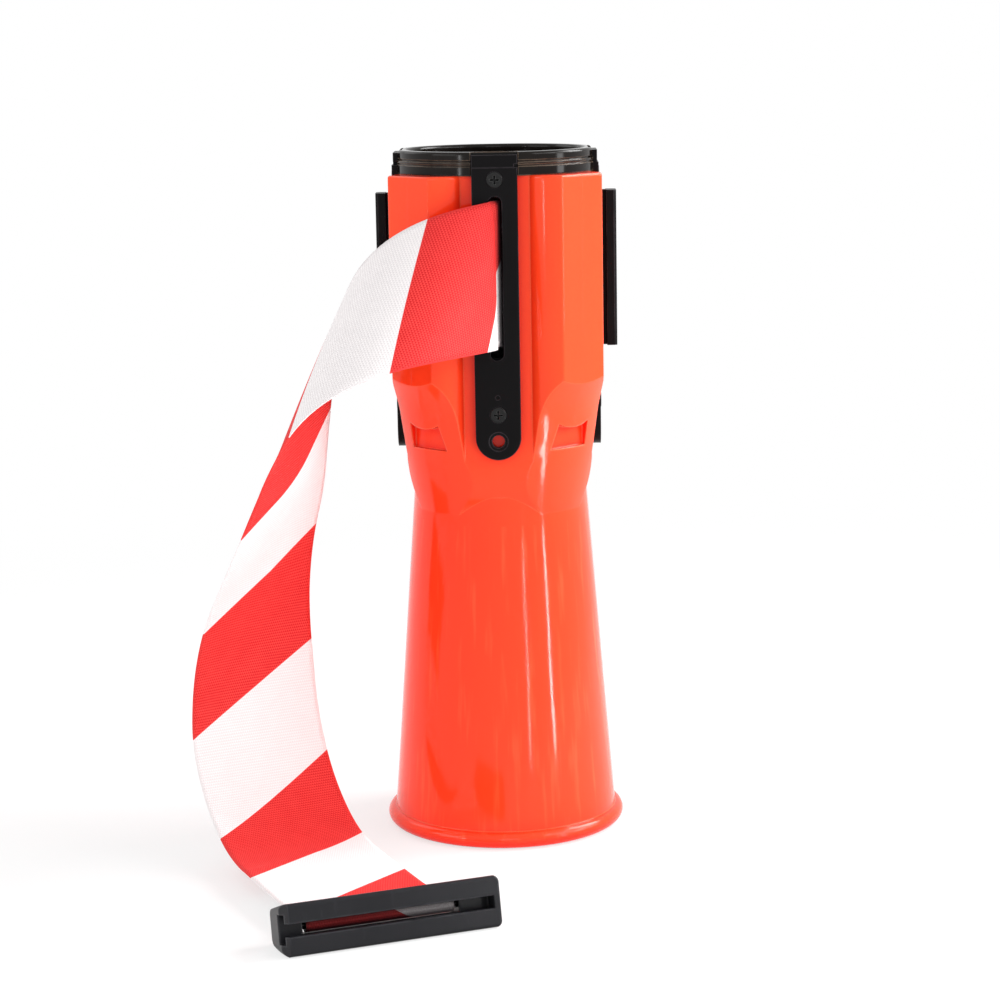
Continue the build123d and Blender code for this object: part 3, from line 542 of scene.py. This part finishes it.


# %% [markdown]
# ## Striped webbing
# The real belt is woven polyester with slanted red and white stripes, the same on both faces. The
# stripes come from the place along the strip plus a share of the place across it, which slants them.
# Fine ribs run across the belt, broken into dots where the threads pass over each other, and they
# drive both the bump and a painted shade in the weave's valleys, mixed with a random unevenness. Cloth
# that lies deep in the slot or in the clip gets little light, so there an Ambient Occlusion node
# paints a dark shade into its colour.

# %% Belt finish
STRIPE_LENGTH = 0.057
STRIPE_SLANT = 0.6
STRIPE_START = 0.057
STRIPE_BLUR = 0.0002
RIB_PITCH = 0.0014
THREAD_PITCH = 0.0012
WEAVE_DEPTH = 0.0002
BELT_RED = (0.86, 0.052, 0.046, 1)
# valley colours are painted shade in the weave's grooves
BELT_RED_VALLEY_SHADE = (0.58, 0.004, 0.007, 1)
BELT_WHITE = (0.93, 0.89, 0.89, 1)
BELT_WHITE_VALLEY_SHADE = (0.76, 0.72, 0.725, 1)
# painted shade: the dark colours of the cloth in the slot's and the clip's shadow
PAINTED_SHADE_RED = (0.03, 0.001, 0.003, 1)
PAINTED_SHADE_WHITE = (0.11, 0.095, 0.1, 1)
SLOT_PAINTED_SHADE_AO = {"distance": 0.012, "low": 0.45, "high": 0.8}
CLIP_PAINTED_SHADE_AO = {"distance": 0.01, "low": 0.3, "high": 0.9}
MOUTH_NEAR = 0.018
MOUTH_FAR = 0.03
SELVEDGE_WIDTH = 0.0016
SELVEDGE_HEIGHT = 0.6
RIB_SHARE = 0.2
DOT_SHARE = 0.3
WEAVE_MEAN = 0.5
BELT_ROUGHNESS = 0.62
VALLEY_ROUGHNESS = 0.2


def striped_webbing():
    """Slanted stripes; ribs and dots are sines of the place along and across, and make the height."""
    finish = Finish("striped_webbing")
    strip = finish.strip()
    across, along, _ = strip.parts()
    slanted = (along + across * STRIPE_SLANT - STRIPE_START) / STRIPE_LENGTH + 1
    turn = slanted % 2
    from_edge = abs(turn - 1)
    blur = STRIPE_BLUR / STRIPE_LENGTH
    white = (turn - 1).ease(-blur, blur) * (1 - (1 - from_edge).ease(1 - blur, 1 + blur))

    rib_turn = along * (2 * math.pi / RIB_PITCH)
    thread_turn = across * (2 * math.pi / THREAD_PITCH)
    dots = (rib_turn * 0.5).sine() * thread_turn.sine()
    weave = rib_turn.sine() * RIB_SHARE + dots * DOT_SHARE + WEAVE_MEAN
    edge = (half_width - abs(across)).ease(0.0, SELVEDGE_WIDTH)
    height = weave * edge + (1 - edge) * SELVEDGE_HEIGHT
    uneven = strip.noise(90.0, 3.0) * 0.5 + strip.noise(900.0, 1.0, stretch=(0.2, 1.0, 1.0)) * 0.5
    shade = (height * 0.8 + uneven * 0.3).ease(0.25, 0.85)
    # painted shade in the weave's valleys, mixed with random unevenness
    red = shade.mix(BELT_RED_VALLEY_SHADE, BELT_RED)
    pale = shade.mix(BELT_WHITE_VALLEY_SHADE, BELT_WHITE)
    # painted shade: near the slot and inside the clip, Ambient Occlusion darkens the colour
    in_clip = along.ease(BELT_FREE_LENGTH - seam, BELT_FREE_LENGTH)
    by_mouth = 1 - abs(along).ease(MOUTH_NEAR, MOUTH_FAR)
    unshaded = finish.open_air(**SLOT_PAINTED_SHADE_AO).most(1 - by_mouth)
    unshaded = unshaded * finish.open_air(**CLIP_PAINTED_SHADE_AO).most(1 - in_clip)
    painted_shade_colour = white.mix(PAINTED_SHADE_RED, PAINTED_SHADE_WHITE)
    return finish.surface(
        Base_Color=unshaded.mix(painted_shade_colour, white.mix(red, pale)),
        Roughness=BELT_ROUGHNESS + (1 - height) * VALLEY_ROUGHNESS,
        Specular_IOR_Level=0.3,
        Normal=finish.bump(height, WEAVE_DEPTH, strength=0.7),
    )


belt_finish = striped_webbing()
belt_pieces = [hanging, loop, feed, winding, reserve]
for piece in belt_pieces:
    piece.data.materials.append(belt_finish)
print("belt finish on", [piece.name for piece in belt_pieces])

# %% [markdown]
# ## Moulded plastics
# The topper is injection moulded. Glossy orange shows soft reflections that wander a little, because
# a moulded wall is never quite flat, and a fine parting line runs up each cut corner where the mould
# closes. The black plates, cap and clip differ in grain and gloss. A Bevel node rounds every edge by
# about a millimetre in the shading, as a mould does. Where the rounded normal leans away from the plain
# one there is an edge, which gets a painted highlight in a paler colour; hollows, found by Ambient
# Occlusion, get a painted shade. On the orange, pale upright streaks are painted reflections on the
# skirt, and the head is painted a paler orange than the skirt for the light that falls on it.

# %% Plastic finishes
# painted light: the head is given a paler orange than the skirt for the light that falls on it
ORANGE_HEAD_PAINTED_LIGHT = (1.0, 0.084, 0.021, 1)
ORANGE_SKIRT = (1.0, 0.051, 0.013, 1)
ORANGE_DEEP = (0.98, 0.042, 0.009, 1)
# paler orange for painted highlights on edges and painted reflection streaks on the skirt
ORANGE_PAINTED_HIGHLIGHT = (1.0, 0.16, 0.06, 1)
# painted shade for the orange's hollows, found by Ambient Occlusion
ORANGE_PAINTED_SHADE = (0.90, 0.022, 0.006, 1)
ORANGE_PAINTED_SHADE_AO = {"distance": 0.025, "low": 0.35, "high": 0.95}
SKIRT_TO_HEAD = (0.14, 0.24)
EDGE_RADIUS = 0.0012
SOFT_EDGE_RADIUS = 0.003
SOFT_FOOT = 0.160
SOFT_TOP = 0.189
SOFT_FADE = 0.003
SOFT_RADIUS = 0.0443
SOFT_RADIUS_FADE = 0.0006
# shares of the painted edge highlight and of the painted reflection streaks
EDGE_HIGHLIGHT_SHARE = 0.5
PAINTED_STREAK_SHARE = 0.3
PARTING_WIDTH = 0.0003
PARTING_DEPTH = 0.00012
WAVE_DEPTH = 0.0006
GRAIN_DEPTH = 0.00004
# darkness of the painted shade in the hollows of plastics and metals
HOLLOW_SHADE = 0.15
PLASTIC_PAINTED_SHADE_AO = {"distance": 0.006, "low": 0.25, "high": 0.8}


def scaled(colour, factor):
    """A colour made paler or darker by a factor, at most 1."""
    return tuple(min(1.0, value * factor) for value in colour[:3]) + (1,)


def orange_moulding():
    """Glossy orange: soft waves, fine specks, painted reflection streaks on the skirt, painted edge highlights."""
    finish = Finish("orange_moulding")
    place = finish.place()
    x, y, z = place.parts()
    wander = place.noise(14.0, 1.5, stretch=(1.0, 1.0, 0.25))
    specks = place.noise(600.0, 2.0)
    scuff = place.noise(120.0, 4.0, stretch=(1.0, 1.0, 0.15)).ease(0.62, 0.75)
    parting = 1 - (abs(abs(x) - abs(y))).ease(0.0, PARTING_WIDTH)
    parting = parting * (z > plate_low.z)
    from_axis = (x * x + y * y) ** 0.5
    soft = (z > SOFT_FOOT) * (1 - z.ease(SOFT_TOP - SOFT_FADE, SOFT_TOP))
    soft = soft * from_axis.ease(SOFT_RADIUS, SOFT_RADIUS + SOFT_RADIUS_FADE)
    crisp = finish.rounded_edges(EDGE_RADIUS)
    round_over = finish.rounded_edges(SOFT_EDGE_RADIUS)
    normal = finish.graph.add("Mix", {"data_type": "VECTOR"}, {"Factor": soft, 4: crisp, 5: round_over}, 1)
    # painted highlight along the edges
    edges = finish.painted_edge_highlights(crisp, 0.002, 0.06) * (1 - soft) * EDGE_HIGHLIGHT_SHARE
    drawn = place.noise(260.0, 2.0, stretch=(1.0, 1.0, 0.03))
    # painted light: the orange turns paler from the skirt up to the head
    painted_light_orange = z.ease(*SKIRT_TO_HEAD).mix(ORANGE_SKIRT, ORANGE_HEAD_PAINTED_LIGHT)
    colour = (wander * 0.6 + specks * 0.2 + 0.2).mix(ORANGE_DEEP, painted_light_orange)
    # painted reflection: pale upright streaks on the skirt
    colour = (drawn.ease(0.52, 0.8) * (z < SOFT_FOOT) * PAINTED_STREAK_SHARE).mix(colour, ORANGE_PAINTED_HIGHLIGHT)
    # painted shade in hollows
    colour = finish.open_air(**ORANGE_PAINTED_SHADE_AO).mix(ORANGE_PAINTED_SHADE, colour)
    normal = finish.bump(wander, WAVE_DEPTH, 0.35, normal)
    normal = finish.bump(parting + specks * 0.1 + drawn * 0.8, PARTING_DEPTH, 0.5, normal)
    return finish.surface(
        Base_Color=edges.mix(colour, ORANGE_PAINTED_HIGHLIGHT),
        Roughness=0.08 + specks * 0.03 + scuff * 0.06,
        Specular_IOR_Level=0.25,
        Normal=normal,
    )


def moulding(name, pale, dark, roughness, gloss, grain_scale, grain, edge, edge_highlight_gain):
    """A grained plastic: cloudy between two colours, rubbed in places, with a painted highlight on its edges and a
    painted shade in its hollows.
    """
    finish = Finish(name)
    place = finish.place()
    texture = place.noise(grain_scale, 3.0, 0.6)
    cloud = place.noise(40.0, 3.0)
    rub = place.noise(260.0, 4.0, stretch=(1.0, 1.0, 0.3)).ease(0.6, 0.8)
    rounded = finish.rounded_edges(edge)
    colour = (cloud * 0.6 + rub * 0.4).mix(dark, pale)
    # painted highlight along the edges, broken up by noise
    edges = finish.painted_edge_highlights(rounded, 0.004, 0.06) * place.noise(70.0, 2.0).ease(0.3, 0.6)
    colour = edges.mix(colour, scaled(pale, edge_highlight_gain))
    # painted shade in hollows, by Ambient Occlusion
    return finish.surface(
        Base_Color=finish.open_air(**PLASTIC_PAINTED_SHADE_AO).mix(scaled(dark, HOLLOW_SHADE), colour),
        Roughness=roughness + texture * 0.1 - rub * 0.05,
        Specular_IOR_Level=gloss,
        Normal=finish.bump(texture, GRAIN_DEPTH, grain, rounded),
    )


orange = orange_moulding()
satin_black = moulding(
    "satin_black_moulding",
    pale=(0.005, 0.0042, 0.0048, 1),
    dark=(0.0025, 0.0022, 0.0025, 1),
    roughness=0.3,
    gloss=0.08,
    grain_scale=2400.0,
    grain=0.4,
    edge=0.0007,
    edge_highlight_gain=9.0,
)
gloss_black = moulding(
    "gloss_black_moulding",
    pale=(0.010, 0.007, 0.005, 1),
    dark=(0.004, 0.003, 0.0025, 1),
    roughness=0.06,
    gloss=0.16,
    grain_scale=60.0,
    grain=1.0,
    edge=0.0008,
    edge_highlight_gain=16.0,
)
clip_black = moulding(
    "clip_black_moulding",
    pale=(0.019, 0.019, 0.022, 1),
    dark=(0.007, 0.007, 0.009, 1),
    roughness=0.3,
    gloss=0.2,
    grain_scale=1800.0,
    grain=0.5,
    edge=0.0015,
    edge_highlight_gain=1.8,
)
nylon_grey = moulding(
    "nylon_grey_moulding",
    pale=(0.10, 0.10, 0.105, 1),
    dark=(0.07, 0.07, 0.074, 1),
    roughness=0.45,
    gloss=0.4,
    grain_scale=1500.0,
    grain=0.4,
    edge=0.0003,
    edge_highlight_gain=1.3,
)
acetal_white = moulding(
    "acetal_white_moulding",
    pale=(0.78, 0.77, 0.73, 1),
    dark=(0.72, 0.71, 0.67, 1),
    roughness=0.35,
    gloss=0.4,
    grain_scale=1200.0,
    grain=0.2,
    edge=0.0003,
    edge_highlight_gain=1.1,
)

# %% [markdown]
# ## Metals
# The screws are blackened steel, and the axle, posts and pin are zinc plated. Plated steel is not a
# mirror: fine marks from turning stretch its reflections round the axis, and the coating is a little
# cloudy. Noise that is squeezed along one axis gives such marks.

# %% Metal finishes
METAL_EDGE_RADIUS = 0.0003
# reach of the painted shade in the metals' recesses
METAL_PAINTED_SHADE_AO = {"distance": 0.0025, "low": 0.35, "high": 0.8}


def marked_metal(name, pale, dark, roughness, stretch, edge_highlight_gain):
    """A metal with marks squeezed along one axis, with a painted highlight on its edges and a painted shade in its
    recesses.
    """
    finish = Finish(name)
    place = finish.place()
    marks = place.noise(700.0, 2.0, stretch=stretch)
    cloud = place.noise(90.0, 3.0)
    rounded = finish.rounded_edges(METAL_EDGE_RADIUS)
    colour = (cloud * 0.7 + marks * 0.3).mix(dark, pale)
    # painted highlight along the edges
    colour = finish.painted_edge_highlights(rounded, 0.004, 0.1).mix(colour, scaled(pale, edge_highlight_gain))
    # painted shade in recesses, by Ambient Occlusion
    return finish.surface(
        Base_Color=finish.open_air(**METAL_PAINTED_SHADE_AO).mix(scaled(dark, HOLLOW_SHADE), colour),
        Metallic=1.0,
        Roughness=roughness + marks * 0.15,
        Normal=finish.bump(marks, GRAIN_DEPTH, 0.3, rounded),
    )


screw_black = marked_metal(
    "blackened_screw",
    pale=(0.04, 0.04, 0.04, 1),
    dark=(0.014, 0.014, 0.014, 1),
    roughness=0.25,
    stretch=(1.0, 1.0, 1.0),
    edge_highlight_gain=3.0,
)
zinc = marked_metal(
    "zinc_plate",
    pale=(0.66, 0.66, 0.67, 1),
    dark=(0.52, 0.53, 0.55, 1),
    roughness=0.22,
    stretch=(1.0, 1.0, 6.0),
    edge_highlight_gain=1.2,
)
spring_blue = marked_metal(
    "blued_spring",
    pale=(0.34, 0.36, 0.42, 1),
    dark=(0.22, 0.24, 0.30, 1),
    roughness=0.2,
    stretch=(1.0, 1.0, 8.0),
    edge_highlight_gain=1.3,
)

# %% [markdown]
# ## A finish for each piece
# The part's record names a material slot for every piece, so a table from slot to finish dresses the
# whole frame in one loop. The clip's pin shares its slot with the plated steel pieces, but it lies in
# the shade of the clip's mouth, so it takes the blackened steel of the screws as a painted shade.

# %% Finishes on the frame
NODE_FINISHES = {
    "orange_plastic": orange,
    "gloss_black": gloss_black,
    "satin_black": satin_black,
    "black_screw": screw_black,
    "cassette_grey": nylon_grey,
    "steel": zinc,
    "spring_steel": spring_blue,
    "bush_white": acetal_white,
    "striped_belt": belt_finish,
    "clip_black": clip_black,
}
for subpart in frame["record"]["subparts"]:
    nodes[subpart["node"]].material_slots[0].material = NODE_FINISHES[subpart["material_slot"]]
# painted shade: the plated pin is given the dark screw finish
nodes["clip_pin"].material_slots[0].material = screw_black

# %% [markdown]
# ## Floor, backdrop and light
# The photograph has a pure white ground. Here the floor is a pale matt plane, and the world is white
# where the camera or a reflection sees it, while it lights the object at a lower level. Large soft
# lamps from the right, the left and the front do the rest. Small ones stand close by: two behind the
# head for its rims, one each for the head and the cap, and narrow upright ones whose reflections draw
# the bright streaks down the skirt.

# %% Studio
FLOOR_SIZE = 8.0
FLOOR_DROP = 0.0003
FLOOR_COLOUR = (0.95, 0.95, 0.95, 1)
FLOOR_WHITE = 0.65
FLOOR_FADE = (0.25, 0.9)
WORLD_FILL = 0.66

half = FLOOR_SIZE / 2
floor_x, floor_y = np.meshgrid([-half, half], [-half, half], indexing="ij")
floor = grid_piece("studio_floor", np.stack([floor_x, floor_y, np.full((2, 2), -FLOOR_DROP)], axis=-1))
floor.data.flip_normals()


def seen_rays(graph):
    """1 on rays from the camera, a reflection or a clear body, and 0 on light that falls on a surface."""
    camera_ray, glossy_ray, clear_ray = [graph.add("LightPath", {}, {}, place) for place in (0, 3, 6)]
    return camera_ray.most(glossy_ray).most(clear_ray)


def floor_finish():
    """Matt floor mixed with plain white for the camera, in part near the object and wholly away from it."""
    finish = Finish("studio_floor")
    x, y, _ = finish.place().parts()
    away = ((x * x + y * y) ** 0.5).ease(*FLOOR_FADE) * (1 - FLOOR_WHITE) + FLOOR_WHITE
    matt = finish.graph.add("BsdfDiffuse", {}, {"Color": FLOOR_COLOUR})
    white = finish.graph.add("Emission", {}, {"Strength": 1.0})
    both = finish.graph.add("MixShader", {}, {0: away * seen_rays(finish.graph), 1: matt, 2: white})
    finish.graph.add("OutputMaterial", {}, {"Surface": both})
    return finish.material


floor.data.materials.append(floor_finish())

world = bpy.data.worlds.new("studio")
world.use_nodes = True
world.node_tree.nodes.clear()
sky = Wire(world.node_tree)
strength = seen_rays(sky) * (1 - WORLD_FILL) + WORLD_FILL
glow = sky.add("Background", {}, {"Color": (1, 1, 1, 1), "Strength": strength})
sky.add("OutputWorld", {}, {"Surface": glow})
bpy.context.scene.world = world
bpy.context.scene.view_settings.view_transform = "Standard"


def soft_lamp(name, bearing, height, distance, width, tall, watts):
    """Rectangular lamp that faces the object's middle; its bearing counts from the front to the right."""
    aim = Vector((0, 0, (cad_low.z + cad_high.z) / 2))
    turn = math.radians(bearing)
    place = Vector((math.sin(turn) * distance, -math.cos(turn) * distance, height))
    light = bpy.data.lights.new(name, "AREA")
    light.shape = "RECTANGLE"
    light.size = width
    light.size_y = tall
    light.energy = watts
    lamp = bpy.data.objects.new(name, light)
    lamp.location = place
    lamp.rotation_euler = (aim - place).to_track_quat("-Z", "Y").to_euler()
    lamp.visible_camera = False
    bpy.context.scene.collection.objects.link(lamp)
    return lamp


soft_lamp("key_lamp", bearing=86, height=0.9, distance=1.7, width=1.2, tall=0.8, watts=12.5)
soft_lamp("front_lamp", bearing=3, height=0.75, distance=1.7, width=0.6, tall=0.5, watts=2.2)
soft_lamp("left_lamp", bearing=-60, height=0.7, distance=1.8, width=1.0, tall=0.8, watts=6.4)
soft_lamp("head_lamp", bearing=58, height=0.5, distance=0.6, width=0.3, tall=0.15, watts=1.0)
soft_lamp("rim_lamp", bearing=108, height=0.62, distance=0.6, width=0.3, tall=0.4, watts=5.5)
soft_lamp("left_rim_lamp", bearing=-118, height=0.62, distance=0.6, width=0.3, tall=0.4, watts=0.6)
soft_lamp("streak_lamp", bearing=53, height=0.07, distance=0.4, width=0.016, tall=0.14, watts=0.24)
soft_lamp("thin_streak_lamp", bearing=26, height=0.07, distance=0.4, width=0.0045, tall=0.14, watts=0.075)
soft_lamp("cap_lamp", bearing=78, height=0.27, distance=0.6, width=0.09, tall=0.15, watts=0.34)
soft_lamp("edge_lamp", bearing=-40, height=0.32, distance=1.3, width=0.05, tall=0.25, watts=0.7)
